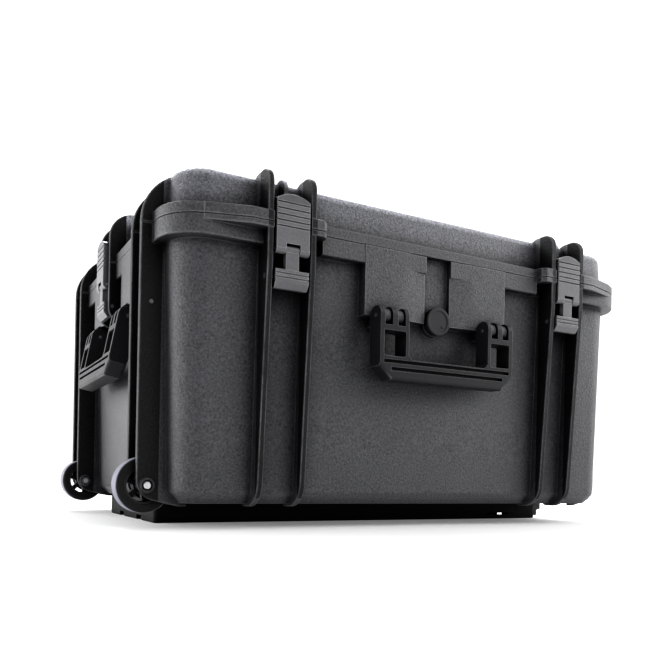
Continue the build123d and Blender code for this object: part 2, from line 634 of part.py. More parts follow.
with BuildPart() as axle_nuts:
    with BuildSketch(Plane.XZ.offset(RIB_Y[0] - RIB_T / 2 - 2)):
        with Locations((WHEEL_X, WHEEL_Z)):
            RegularPolygon(5.4, 6)
            Circle(AXLE_R, mode=Mode.SUBTRACT)
    extrude(amount=-5)
    with BuildSketch(Plane.XZ.offset(-(RIB_Y[0] - RIB_T / 2 - 2))):
        with Locations((WHEEL_X, WHEEL_Z)):
            RegularPolygon(5.4, 6)
            Circle(AXLE_R, mode=Mode.SUBTRACT)
    extrude(amount=5)
axle_nuts.part.label = "axle_nuts"

# -------------------------------------------------------------------- valve
with BuildPart() as valve_body:
    with Locations((0, -240.4, VALVE_Z)):
        Cylinder(15, 1.8, rotation=(90, 0, 0))
    with Locations((0, -231, VALVE_Z)):
        Cylinder(9, 17, rotation=(90, 0, 0))
    with Locations((0, -243.5, VALVE_Z)):
        Cylinder(4, 5, rotation=(90, 0, 0))
    with Locations((0, -225, VALVE_Z)):
        Cylinder(3, 10, rotation=(90, 0, 0), mode=Mode.SUBTRACT)
valve_body.part.label = "valve_body"

with BuildPart() as valve_nut:
    with BuildSketch(Plane.XZ.offset(222.8)):
        with Locations((0, VALVE_Z)):
            RegularPolygon(14, 6)
            Circle(9, mode=Mode.SUBTRACT)
    extrude(amount=5)
valve_nut.part.label = "valve_nut"

with BuildPart() as valve_knob:
    with BuildSketch(Plane.XZ.offset(241.8)):
        with Locations((0, VALVE_Z)):
            Circle(16.7)
    extrude(amount=6.5)
    fillet(valve_knob.edges().filter_by(GeomType.CIRCLE).sort_by(Axis.Y)[0], 1.2)
    # finger scallops round the edge
    with BuildSketch(Plane.XZ.offset(241)):
        with Locations((0, VALVE_Z)):
            with PolarLocations(17.3, 28):
                Circle(1.3)
    extrude(amount=6, mode=Mode.SUBTRACT)
    # shallow dished face with a small arrow
    with BuildSketch(Plane.XZ.offset(247.6)):
        with Locations((0, VALVE_Z)):
            Circle(12.8)
    extrude(amount=2, mode=Mode.SUBTRACT)
    with BuildSketch(Plane.XZ.offset(247.1)):
        with Locations((4, VALVE_Z - 7)):
            RegularPolygon(2.6, 3)
    extrude(amount=2, mode=Mode.SUBTRACT)
    with Locations((0, -242, VALVE_Z)):
        Cylinder(4 + RUN, 8.4, rotation=(90, 0, 0), mode=Mode.SUBTRACT)
valve_knob.part.label = "valve_knob"

# ----------------------------------------------------- under-base pull handle
SCREWS = [(x, s * 101) for x in (-280, -10, 250) for s in (-1, 1)]
with BuildPart() as trolley_housing:
    with BuildSketch(Plane.XY):
        RectangleRounded(BOX_L, BOX_W, 6)
    extrude(amount=Z_BASE)
    chamfer(trolley_housing.faces().sort_by(Axis.Z)[0].edges(), 1.2)
    with BuildSketch(Plane.XY.offset(3)):
        RectangleRounded(BOX_L - 6, BOX_W - 6, 3)
    extrude(amount=30, mode=Mode.SUBTRACT)
    # screw columns
    with Locations(*[(x, y, 15) for x, y in SCREWS]):
        Cylinder(7.5, 24)
    # lengthwise stiffening webs that also guide the tubes
    with Locations(*[(-20, s * 62.5, 14.9) for s in (-1, 1)]):
        Box(540, 3, 24.2)
    # finger recess at the grip end
    with Locations((BOX_L / 2 - 10, 0, 13)):
        Box(44, 122, 40, mode=Mode.SUBTRACT)
    with Locations((BOX_L / 2 - 33.5, 0, 15)):
        Box(3, 128, 24)
    # tube ways through the end wall
    with Locations(*[(BOX_L / 2, s * TUBE_Y, TUBE_Z) for s in (-1, 1)]):
        Cylinder(TUBE_R + 0.6, 20, rotation=(0, 90, 0), mode=Mode.SUBTRACT)
    # drain notches in the end wall, light slots in the side walls
    with Locations(*[(-BOX_L / 2, s * 44, 2.5) for s in (-1, 1)]):
        Box(14, 22, 7, mode=Mode.SUBTRACT)
    with Locations((221, 0, 7.6)):
        Box(42, BOX_W + 10, 3.4, mode=Mode.SUBTRACT)
    with Locations(*[(x, y, 0) for x, y in SCREWS]):
        Cylinder(5.2, 7.6, mode=Mode.SUBTRACT)
        Cylinder(2.5, 60, mode=Mode.SUBTRACT)
trolley_housing.part.label = "trolley_housing"

with BuildPart() as housing_screws:
    with Locations(*[(x, y, 2.3) for x, y in SCREWS]):
        Cylinder(4.8, 3.0)
    with Locations(*[(x, y, 16.9) for x, y in SCREWS]):
        Cylinder(2.5, 26.2)
    with Locations(*[(x, y, 1.2) for x, y in SCREWS]):
        Box(5.5, 1.2, 1.6, mode=Mode.SUBTRACT)
        Box(1.2, 5.5, 1.6, mode=Mode.SUBTRACT)
housing_screws.part.label = "housing_screws"

with BuildPart() as tube_guides:
    with Locations(*[(282, s * TUBE_Y, 14.9) for s in (-1, 1)]):
        Box(20, 22, 23.6)
    with Locations(*[(282, s * TUBE_Y, TUBE_Z) for s in (-1, 1)]):
        Cylinder(TUBE_R + RUN, 60, rotation=(0, 90, 0), mode=Mode.SUBTRACT)
tube_guides.part.label = "tube_guides"

with BuildPart() as trolley_tubes:
    with Locations(*[((TUBE_X0 + TUBE_X1) / 2, s * TUBE_Y, TUBE_Z) for s in (-1, 1)]):
        Cylinder(TUBE_R, TUBE_X1 - TUBE_X0, rotation=(0, 90, 0))
        Cylinder(TUBE_R - 1.2, 500, rotation=(0, 90, 0), mode=Mode.SUBTRACT)
trolley_tubes.part.label = "trolley_tubes"

with BuildPart() as tube_end_stops:
    with Locations(*[(TUBE_X0 - 4, s * TUBE_Y, TUBE_Z + 0.8) for s in (-1, 1)]):
        Box(8, 15.6, 20)
    with Locations(*[(TUBE_X0 + 6, s * TUBE_Y, TUBE_Z) for s in (-1, 1)]):
        Cylinder(TUBE_R - 1.2, 12, rotation=(0, 90, 0))
tube_end_stops.part.label = "tube_end_stops"

with BuildPart() as trolley_grip:
    with BuildSketch(Plane.XZ) as s:
        with BuildLine():
            Polyline((299.2, 4), (306.5, 4), (306.5, 12), (314, 13.5), (314, 24.2),
                     (299.2, 24.2), close=True)
        make_face()
        fillet(s.vertices(), 1.5)
    extrude(amount=106, both=True)
    fillet(trolley_grip.faces().filter_by(Axis.Y).edges(), 1.0)
    with Locations(*[(300, s * TUBE_Y, TUBE_Z) for s in (-1, 1)]):
        Cylinder(TUBE_R, 14, rotation=(0, 90, 0), mode=Mode.SUBTRACT)
    # pocket of the release button
    with Locations((311, 0, 19)):
        Box(10, 30, 6.4, mode=Mode.SUBTRACT)
trolley_grip.part.label = "trolley_grip"

with BuildPart() as trolley_button:
    with Locations((311.6, 0, 19)):
        Box(5.2, 29.2, 5.6)
    fillet(trolley_button.faces().sort_by(Axis.X)[-1].edges(), 0.8)
trolley_button.part.label = "trolley_button"

# ------------------------------------------------------------------- export
PIECES = [base_shell, lid_shell, seal_ring, foam_bottom_pad, foam_insert, foam_lid,
          front_handle, left_handle, right_handle, handle_pins, latch_pins,
          hinge_pins, corner_pins, axle_bolts, axle_nuts, valve_body, valve_nut,
          valve_knob, trolley_housing, housing_screws, tube_guides, trolley_tubes,
          tube_end_stops, trolley_grip, trolley_button] + latch_parts + wheel_parts
for piece in PIECES:
    export_step(piece.part, "parts/" + piece.part.label + ".step")
    print(piece.part.label, len(piece.part.solids()), round(piece.part.volume / 1000, 1))
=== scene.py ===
import json
import math

import bmesh
import bpy
import numpy as np
from mathutils import Matrix, Vector


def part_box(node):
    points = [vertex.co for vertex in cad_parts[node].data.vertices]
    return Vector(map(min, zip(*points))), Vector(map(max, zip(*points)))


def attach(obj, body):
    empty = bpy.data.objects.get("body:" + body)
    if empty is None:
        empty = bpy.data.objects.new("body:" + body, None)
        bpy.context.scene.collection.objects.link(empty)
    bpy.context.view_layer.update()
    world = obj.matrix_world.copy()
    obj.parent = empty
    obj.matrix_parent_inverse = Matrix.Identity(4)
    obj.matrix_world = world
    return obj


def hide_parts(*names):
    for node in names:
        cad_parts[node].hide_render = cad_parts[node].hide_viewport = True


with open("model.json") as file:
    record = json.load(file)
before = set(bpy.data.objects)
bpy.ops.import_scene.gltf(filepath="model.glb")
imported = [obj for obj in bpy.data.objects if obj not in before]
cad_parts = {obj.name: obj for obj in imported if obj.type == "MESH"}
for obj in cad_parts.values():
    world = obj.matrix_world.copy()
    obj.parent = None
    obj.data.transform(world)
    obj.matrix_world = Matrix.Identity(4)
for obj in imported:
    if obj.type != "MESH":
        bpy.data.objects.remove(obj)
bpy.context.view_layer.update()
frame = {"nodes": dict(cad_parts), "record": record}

scene = bpy.context.scene
nodes = frame["nodes"]
COLL = scene.collection


# ------------------------------------------------------------------ materials
class Tree:
    """Small helper that adds and links shader nodes."""

    def __init__(self, name):
        self.mat = bpy.data.materials.new(name)
        self.mat.use_nodes = True
        self.t = self.mat.node_tree
        self.t.nodes.clear()
        self.out = self.t.nodes.new("ShaderNodeOutputMaterial")
        self.bsdf = self.t.nodes.new("ShaderNodeBsdfPrincipled")
        self.t.links.new(self.bsdf.outputs[0], self.out.inputs[0])
        place = self.t.nodes.new("ShaderNodeTexCoord")
        self.coord = place.outputs["Object"]
        self.facing = place.outputs["Normal"]     # in the object's own frame

    def new(self, kind, **values):
        n = self.t.nodes.new(kind)
        for k, v in values.items():
            if hasattr(n, k):
                setattr(n, k, v)
            else:
                n.inputs[k].default_value = v
        return n

    def link(self, a, b):
        self.t.links.new(a, b)

    def noise(self, scale, detail=2.0, rough=0.5, distortion=0.0, vector=None):
        n = self.t.nodes.new("ShaderNodeTexNoise")
        n.inputs["Scale"].default_value = scale
        n.inputs["Detail"].default_value = detail
        n.inputs["Roughness"].default_value = rough
        n.inputs["Distortion"].default_value = distortion
        self.link(vector or self.coord, n.inputs["Vector"])
        return n.outputs["Fac"]

    def ramp(self, fac, *stops):
        n = self.t.nodes.new("ShaderNodeValToRGB")
        r = n.color_ramp
        while len(r.elements) < len(stops):
            r.elements.new(0.5)
        for e, (p, c) in zip(r.elements, stops):
            e.position = p
            e.color = (c, c, c, 1) if isinstance(c, (int, float)) else (*c, 1)
        self.link(fac, n.inputs["Fac"])
        return n.outputs["Color"]

    def maths(self, op, a, b=None, c=None, clamp=False):
        n = self.t.nodes.new("ShaderNodeMath")
        n.operation = op
        n.use_clamp = clamp
        for i, v in enumerate((a, b, c)):
            if v is None:
                continue
            if isinstance(v, (int, float)):
                n.inputs[i].default_value = v
            else:
                self.link(v, n.inputs[i])
        return n.outputs[0]

    def mix(self, fac, a, b, blend="MIX"):
        n = self.t.nodes.new("ShaderNodeMix")
        n.data_type = "RGBA"
        n.blend_type = blend
        for sock, v in ((n.inputs[0], fac), (n.inputs[6], a), (n.inputs[7], b)):
            if isinstance(v, (int, float)):
                sock.default_value = v
            elif isinstance(v, tuple):
                sock.default_value = (*v, 1)
            else:
                self.link(v, sock)
        return n.outputs[2]

    def bump(self, height, distance, strength=1.0, normal=None):
        n = self.t.nodes.new("ShaderNodeBump")
        n.inputs["Distance"].default_value = distance
        n.inputs["Strength"].default_value = strength
        self.link(height, n.inputs["Height"])
        if normal is not None:
            self.link(normal, n.inputs["Normal"])
        return n.outputs["Normal"]

    def bevel(self, radius, samples=4):
        n = self.t.nodes.new("ShaderNodeBevel")
        n.samples = samples
        n.inputs["Radius"].default_value = radius
        return n.outputs["Normal"]

    def edges(self, rounded, lo=0.012, hi=0.09):
        """Mask that is white along edges, from how far the rounded normal turns off the face."""
        g = self.t.nodes.new("ShaderNodeNewGeometry")
        d = self.t.nodes.new("ShaderNodeVectorMath")
        d.operation = "DOT_PRODUCT"
        self.link(rounded, d.inputs[0])
        self.link(g.outputs["True Normal"], d.inputs[1])
        turn = self.maths("SUBTRACT", 1.0, d.outputs["Value"])
        return self.ramp(turn, (lo, 0.0), (hi, 1.0))


def rib_mask(m):
    """White on the upright ribs of the shells, from their place in the object, and
    a second mask that is white on their rounded edges."""
    sep = m.t.nodes.new("ShaderNodeSeparateXYZ")
    m.link(m.coord, sep.inputs[0])
    ax = m.maths("ABSOLUTE", sep.outputs[0])
    ay = m.maths("ABSOLUTE", sep.outputs[1])

    def near(v, centre, half):
        return m.maths("LESS_THAN", m.maths("ABSOLUTE", m.maths("SUBTRACT", v, centre)), half)

    long_ribs = m.maths("MAXIMUM", near(ax, 0.1735, 0.0036), near(ax, 0.2228, 0.0036))
    long_ribs = m.maths("MULTIPLY", long_ribs, m.maths("GREATER_THAN", ay, 0.2368))
    end_ribs = m.maths("MAXIMUM", near(ay, 0.150, 0.0036), near(ay, 0.1875, 0.0056))
    end_ribs = m.maths("MAXIMUM", end_ribs, near(ay, 0.0245, 0.0034))
    end_ribs = m.maths("MULTIPLY", end_ribs, m.maths("GREATER_THAN", ax, 0.3150))
    nrm = m.t.nodes.new("ShaderNodeSeparateXYZ")
    m.link(m.facing, nrm.inputs[0])

    def turned(v):
        n = m.maths("ABSOLUTE", v)
        return m.ramp(n, (0.15, 0.0), (0.35, 1.0), (0.85, 1.0), (0.97, 0.0))

    lines = m.maths("MAXIMUM", m.maths("MULTIPLY", long_ribs, turned(nrm.outputs[0])),
                    m.maths("MULTIPLY", end_ribs, turned(nrm.outputs[1])))
    return m.maths("MAXIMUM", long_ribs, end_ribs), lines


def plastic(name, color, rough=0.5, grain=1100.0, depth=0.00010, mottle=0.16, edge=0.45,
            radius=0.0009, edge_tone=0.10, specular=0.5, reach=0.035, floor=0.10, speck=1.0,
            ribs=False, edge_wear_and_highlight_reach=0.0, coarse=0.0, field=None, tread=0.0):
    """Moulded plastic: spark-eroded grain, cloudy tone, lighter edges that are partly wear and
    partly painted highlight, and painted shade darkening the crevices."""
    m = Tree(name)
    fine = m.noise(grain, 3.0, 0.6)
    pits = m.noise(grain * 0.42, 2.0, 0.55, 0.4)
    # painted shade: the AO node darkens the colour and the specular level near other surfaces,
    # down to the floor factor within reach
    ao = m.t.nodes.new("ShaderNodeAmbientOcclusion")
    ao.samples = 8
    ao.inputs["Distance"].default_value = reach
    painted_crevice_shade = m.ramp(ao.outputs["AO"], (0.30, floor), (0.62, 0.5 + floor / 2), (0.92, 1.0))
    cloud = m.noise(38.0, 4.0, 0.62)
    broad = m.noise(6.5, 3.0, 0.5)
    rounded = m.bevel(radius)
    # lighter edges: partly wear, partly a painted highlight of rounded edges catching light
    edge_wear_and_highlight = m.edges(m.bevel(edge_wear_and_highlight_reach) if edge_wear_and_highlight_reach else rounded)
    edge_wear_and_highlight = m.maths("MULTIPLY", edge_wear_and_highlight, m.ramp(cloud, (0.3, 0.45), (0.65, 1.0)))
    edge_wear_and_highlight = m.maths("MULTIPLY", edge_wear_and_highlight, m.ramp(ao.outputs["AO"], (0.35, 0.0), (0.65, 1.0)))
    tone = m.maths("MULTIPLY_ADD", m.maths("SUBTRACT", cloud, 0.5), mottle * 2, 1.0)
    tone = m.maths("MULTIPLY_ADD", m.maths("SUBTRACT", broad, 0.5), mottle * 1.3, tone)
    tone = m.maths("MULTIPLY_ADD", m.maths("SUBTRACT", pits, 0.5), mottle * 4.2 * speck, tone)
    tone = m.maths("MULTIPLY_ADD", m.maths("SUBTRACT", fine, 0.5), mottle * 2.4 * speck, tone)
    if coarse:
        lumps = m.noise(430.0, 2.0, 0.7)
        tone = m.maths("MULTIPLY_ADD", m.maths("SUBTRACT", lumps, 0.5), coarse, tone)
        tone = m.maths("MAXIMUM", tone, 0.15)
    tone = m.maths("MULTIPLY", tone, painted_crevice_shade)
    shade = painted_crevice_shade
    if ribs:
        # painted shade: the ribs are painted much darker than the grained walls, and their
        # specular level is lowered
        painted_rib_shade, lines = rib_mask(m)
        tone = m.maths("MULTIPLY", tone, m.maths("MULTIPLY_ADD", painted_rib_shade, -0.85, 1.0))
        # painted highlight: light lines along the ribs' rounded edges
        rib_edge_highlight = m.maths("MULTIPLY", lines, m.ramp(cloud, (0.35, 0.15), (0.65, 1.0)))
        tone = m.maths("MULTIPLY", tone, m.maths("MULTIPLY_ADD", rib_edge_highlight, 8.0, 1.0))
        shade = m.maths("MULTIPLY", shade, m.maths("MULTIPLY_ADD", painted_rib_shade, -0.60, 1.0))
        # painted light: the lid walls are painted lighter than the base, brightening with height
        # as if lit from above
        sep = m.t.nodes.new("ShaderNodeSeparateXYZ")
        m.link(m.coord, sep.inputs[0])
        painted_top_light = m.t.nodes.new("ShaderNodeMapRange")
        m.link(sep.outputs[2], painted_top_light.inputs["Value"])
        for k, v in (("From Min", 0.325), ("From Max", 0.350), ("To Min", 1.0), ("To Max", 2.3)):
            painted_top_light.inputs[k].default_value = v
        wall = m.maths("SUBTRACT", 1.0, painted_rib_shade)
        lift = m.maths("MULTIPLY", m.maths("SUBTRACT", painted_top_light.outputs[0], 1.0), wall)
        tone = m.maths("MULTIPLY", tone, m.maths("ADD", lift, 1.0))
        # painted highlight: the rounded top edge of the lid is painted lighter, most of all at
        # the front
        up = m.t.nodes.new("ShaderNodeSeparateXYZ")
        m.link(m.facing, up.inputs[0])
        high = m.t.nodes.new("ShaderNodeMapRange")
        m.link(sep.outputs[2], high.inputs["Value"])
        for k, v in (("From Min", 0.3605), ("From Max", 0.3690)):
            high.inputs[k].default_value = v
        flat = m.t.nodes.new("ShaderNodeMapRange")
        m.link(up.outputs[2], flat.inputs["Value"])
        for k, v in (("From Min", 0.80), ("From Max", 0.97), ("To Min", 1.0), ("To Max", 0.0)):
            flat.inputs[k].default_value = v
        painted_rim_highlight = m.maths("MULTIPLY", high.outputs[0], flat.outputs[0])
        painted_rim_highlight = m.maths("MULTIPLY", painted_rim_highlight, wall)
        front = m.maths("MULTIPLY", up.outputs[1], -2.0, clamp=True)
        painted_rim_highlight = m.maths("MULTIPLY", painted_rim_highlight, m.maths("MULTIPLY_ADD", front, 2.2, 0.5))
        tone = m.maths("MULTIPLY", tone, m.maths("ADD", painted_rim_highlight, 1.0))
    if field:
        # darker colour from the given height up
        sep = m.t.nodes.new("ShaderNodeSeparateXYZ")
        m.link(m.coord, sep.inputs[0])
        f = m.maths("GREATER_THAN", sep.outputs[2], field[0])
        tone = m.maths("MULTIPLY", tone, m.maths("MULTIPLY_ADD", f, field[1] - 1.0, 1.0))
    if tread:
        # the running surface is painted much lighter than the flanks: partly dust, partly a
        # painted highlight of the lit tread
        side = m.t.nodes.new("ShaderNodeSeparateXYZ")
        m.link(m.facing, side.inputs[0])
        tread_dust_and_highlight = m.ramp(m.maths("ABSOLUTE", side.outputs[1]), (0.25, 1.0), (0.65, 0.0))
        tone = m.maths("MULTIPLY", tone, m.maths("MULTIPLY_ADD", tread_dust_and_highlight, tread - 1.0, 1.0))
    comb = m.t.nodes.new("ShaderNodeCombineColor")
    for i in range(3):
        m.link(tone, comb.inputs[i])
    base = m.mix(1.0, color, comb.outputs[0], "MULTIPLY")
    # edges mixed toward the lighter edge_tone: partly wear, partly painted highlight
    base = m.mix(m.maths("MULTIPLY", edge_wear_and_highlight, edge), base,
                 (edge_tone, edge_tone, edge_tone * 1.04))
    m.link(base, m.bsdf.inputs["Base Color"])
    r = m.maths("MULTIPLY_ADD", m.maths("SUBTRACT", cloud, 0.5), 0.16, rough)
    r = m.maths("MULTIPLY_ADD", edge_wear_and_highlight, -0.10, r, clamp=True)
    m.link(r, m.bsdf.inputs["Roughness"])
    h = m.maths("ADD", m.maths("MULTIPLY", fine, 0.55), m.maths("MULTIPLY", pits, 0.8))
    if coarse:
        h = m.maths("MULTIPLY_ADD", lumps, 1.1, h)
    m.link(m.bump(h, depth, 1.0, rounded), m.bsdf.inputs["Normal"])
    m.link(m.maths("MULTIPLY", shade, specular), m.bsdf.inputs["Specular IOR Level"])
    return m.mat


def metal(name, color, rough=0.32, brush=(1.0, 40.0, 40.0), radius=0.0005):
    """Zinc plated or brushed metal with faint drawing lines and specks."""
    m = Tree(name)
    mp = m.t.nodes.new("ShaderNodeMapping")
    mp.inputs["Scale"].default_value = brush
    m.link(m.coord, mp.inputs["Vector"])
    lines = m.noise(60.0, 3.0, 0.6, vector=mp.outputs[0])
    spots = m.noise(420.0, 2.0, 0.5)
    rounded = m.bevel(radius)
    m.link(m.mix(m.ramp(spots, (0.35, 0.0), (0.75, 0.5)), color, tuple(c * 0.72 for c in color)),
           m.bsdf.inputs["Base Color"])
    r = m.maths("MULTIPLY_ADD", lines, 0.22, rough - 0.1)
    m.link(r, m.bsdf.inputs["Roughness"])
    m.link(m.bump(lines, 0.00003, 0.6, rounded), m.bsdf.inputs["Normal"])
    m.bsdf.inputs["Metallic"].default_value = 1.0
    return m.mat


def foam(name, color):
    """Open-cell foam: small irregular cells with a soft sheen."""
    m = Tree(name)
    v = m.t.nodes.new("ShaderNodeTexVoronoi")
    v.inputs["Scale"].default_value = 700.0
    m.link(m.coord, v.inputs["Vector"])
    cells = v.outputs["Distance"]
    cloud = m.noise(45.0, 4.0, 0.6)
    fac = m.ramp(cells, (0.05, 0.25), (0.55, 1.0))
    tone = m.mix(fac, tuple(c * 0.35 for c in color), color)
    tone = m.mix(m.ramp(cloud, (0.3, 0.0), (0.7, 0.35)), tone, tuple(c * 1.5 for c in color))
    m.link(tone, m.bsdf.inputs["Base Color"])
    h = m.maths("ADD", m.maths("MULTIPLY", cells, 1.0), m.maths("MULTIPLY", cloud, 1.5))
    m.link(m.bump(h, 0.0006, 0.8), m.bsdf.inputs["Normal"])
    m.bsdf.inputs["Roughness"].default_value = 0.95
    m.bsdf.inputs["Specular IOR Level"].default_value = 0.15
    m.bsdf.inputs["Sheen Weight"].default_value = 0.25
    m.bsdf.inputs["Sheen Roughness"].default_value = 0.5
    return m.mat


MATS = {
    "shell_black": plastic("shell_black", (0.044, 0.044, 0.050), rough=0.46, grain=900.0,
                           depth=0.00045, mottle=0.24, edge=0.8, edge_tone=0.20, ribs=True,
                           edge_wear_and_highlight_reach=0.0022, coarse=3.2, reach=0.038, floor=0.05),
    "handle_black": plastic("handle_black", (0.009, 0.009, 0.011), rough=0.46, grain=1500.0,
                            depth=0.00010, mottle=0.14, edge=0.9, radius=0.0010,
                            reach=0.014, floor=0.05, edge_tone=0.16, edge_wear_and_highlight_reach=0.0012,
                            coarse=0.6, specular=0.28),
    "latch_black": plastic("latch_black", (0.094, 0.094, 0.102), rough=0.36, grain=1500.0,
                           depth=0.00008, mottle=0.14, edge=0.9, radius=0.0009,
                           reach=0.007, floor=0.02, edge_tone=0.42, edge_wear_and_highlight_reach=0.0012,
                           coarse=0.5, field=(0.3385, 0.68)),
    "valve_black": plastic("valve_black", (0.012, 0.012, 0.014), rough=0.42, grain=1500.0,
                           depth=0.00006, mottle=0.14, edge=0.7, radius=0.0006,
                           reach=0.010, floor=0.05, edge_tone=0.10, specular=0.35),
    "hub_black": plastic("hub_black", (0.014, 0.014, 0.016), rough=0.45, grain=1500.0,
                         depth=0.00006, mottle=0.12, edge=0.6, radius=0.0007,
                         reach=0.020, edge_tone=0.12),
    "tyre": plastic("tyre", (0.004, 0.004, 0.005), rough=0.50, grain=900.0, depth=0.00008,
                    mottle=0.22, edge=0.5, radius=0.0010, specular=0.25, reach=0.020,
                    edge_tone=0.07, tread=48.0),
    "housing_black": plastic("housing_black", (0.006, 0.006, 0.007), rough=0.6, grain=900.0,
                             depth=0.0002, mottle=0.2, edge=0.3, edge_tone=0.03,
                             specular=0.15, reach=0.03, floor=0.05),
    "seal_rubber": plastic("seal_rubber", (0.014, 0.014, 0.015), rough=0.7, grain=900.0,
                           depth=0.00008, mottle=0.2, edge=0.2, radius=0.0006, specular=0.35,
                           edge_tone=0.03),
    "foam_grey": foam("foam_grey", (0.060, 0.060, 0.064)),
    "steel": metal("steel", (0.66, 0.66, 0.67), 0.30),
    "dark_steel": metal("dark_steel", (0.16, 0.16, 0.17), 0.40),
    "alloy": metal("alloy", (0.74, 0.75, 0.77), 0.28, brush=(0.6, 60.0, 60.0)),
}
slot_of = {s["node"]: s["material_slot"] for s in frame["record"]["subparts"]}


# ------------------------------------------------ finish of the carried nodes
def smooth_group(angle):
    """Geometry-node group: smooth faces, sharp edges above the angle."""
    g = bpy.data.node_groups.new("smooth_%d" % angle, "GeometryNodeTree")
    g.interface.new_socket("Geometry", in_out="INPUT", socket_type="NodeSocketGeometry")
    g.interface.new_socket("Geometry", in_out="OUTPUT", socket_type="NodeSocketGeometry")
    i = g.nodes.new("NodeGroupInput")
    o = g.nodes.new("NodeGroupOutput")
    weld = g.nodes.new("GeometryNodeMergeByDistance")
    weld.inputs["Distance"].default_value = 1e-6
    a = g.nodes.new("GeometryNodeSetShadeSmooth")
    b = g.nodes.new("GeometryNodeSetShadeSmooth")
    b.domain = "EDGE"
    b.inputs["Shade Smooth"].default_value = False
    e = g.nodes.new("GeometryNodeInputMeshEdgeAngle")
    c = g.nodes.new("FunctionNodeCompare")
    c.data_type = "FLOAT"
    c.operation = "GREATER_THAN"
    c.inputs["B"].default_value = math.radians(angle)
    g.links.new(i.outputs[0], weld.inputs["Geometry"])
    g.links.new(weld.outputs["Geometry"], a.inputs["Geometry"])
    g.links.new(a.outputs["Geometry"], b.inputs["Geometry"])
    g.links.new(e.outputs["Unsigned Angle"], c.inputs["A"])
    g.links.new(c.outputs["Result"], b.inputs["Selection"])
    g.links.new(b.outputs["Geometry"], o.inputs[0])
    return g


SMOOTH = smooth_group(32)


def dress(o, material):
    """Procedural material and smooth shading on a carried-over node."""
    o.data.materials.clear()
    o.data.materials.append(material)
    if o.data.has_custom_normals:
        with bpy.context.temp_override(object=o, active_object=o):
            bpy.context.view_layer.objects.active = o
            bpy.ops.mesh.customdata_custom_splitnormals_clear()
    mod = o.modifiers.new("smooth", "NODES")
    mod.node_group = SMOOTH
    w = o.modifiers.new("weighted", "WEIGHTED_NORMAL")
    w.keep_sharp = True
    w.weight = 100


for name, o in nodes.items():
    dress(o, MATS["dark_steel" if name in ("corner_pins", "latch_pins", "axle_nuts")
                  else "housing_black" if name == "trolley_housing" else slot_of[name]])


# ------------------------------------------------------------------ new pieces
def mesh_object(name, verts, faces, material, body, slot, smooth=True):
    me = bpy.data.meshes.new(name)
    me.from_pydata([tuple(v) for v in verts], [], faces)
    me.validate()
    me.update()
    o = bpy.data.objects.new(name, me)
    COLL.objects.link(o)
    me.materials.append(material)
    if smooth:
        me.shade_smooth()
    return o


def soften(source, name, voxel, smooth_steps, wobble):
    """Foam block with softened edges: a remeshed copy of the node's solid."""
    me = source.data.copy()
    me.name = name
    o = bpy.data.objects.new(name, me)
    COLL.objects.link(o)
    bm = bmesh.new()
    bm.from_mesh(me)
    bmesh.ops.remove_doubles(bm, verts=bm.verts, dist=1e-6)
    bm.to_mesh(me)
    bm.free()
    me.materials.clear()
    me.materials.append(MATS["foam_grey"])
    r = o.modifiers.new("remesh", "REMESH")
    r.mode = "VOXEL"
    r.voxel_size = voxel
    s = o.modifiers.new("soft", "SMOOTH")
    s.factor = 0.5
    s.iterations = smooth_steps
    dg = bpy.context.evaluated_depsgraph_get()
    done = bpy.data.meshes.new_from_object(o.evaluated_get(dg))
    o.modifiers.clear()
    o.data = done
    done.name = name
    n = len(done.vertices)
    co = np.zeros(n * 3)
    done.vertices.foreach_get("co", co)
    co = co.reshape(-1, 3)
    lo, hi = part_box(source.name)
    lo, hi = np.array(lo), np.array(hi)
    # gentle unevenness of cut foam, kept inside the CAD block
    w = (np.sin(co[:, 0] * 61 + 1.3) * np.sin(co[:, 1] * 53 + 0.4)
         + 0.6 * np.sin(co[:, 0] * 131 + co[:, 2] * 97) * np.sin(co[:, 1] * 113 + 2.1))
    nrm = np.zeros(n * 3)
    done.vertices.foreach_get("normal", nrm)
    nrm = nrm.reshape(-1, 3)
    co = co - nrm * (wobble * (1.2 + w)[:, None] * 0.5)
    co = np.clip(co, lo + 1e-5, hi - 1e-5)
    done.vertices.foreach_set("co", co.ravel())
    done.update()
    done.shade_smooth()
    return o


foam_insert = soften(nodes["foam_insert"], "foam_insert_soft", 0.005, 3, 0.0009)
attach(foam_insert, "base")
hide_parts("foam_insert")

foam_pad = soften(nodes["foam_bottom_pad"], "foam_bottom_pad_soft", 0.005, 3, 0.0006)
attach(foam_pad, "base")
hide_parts("foam_bottom_pad")


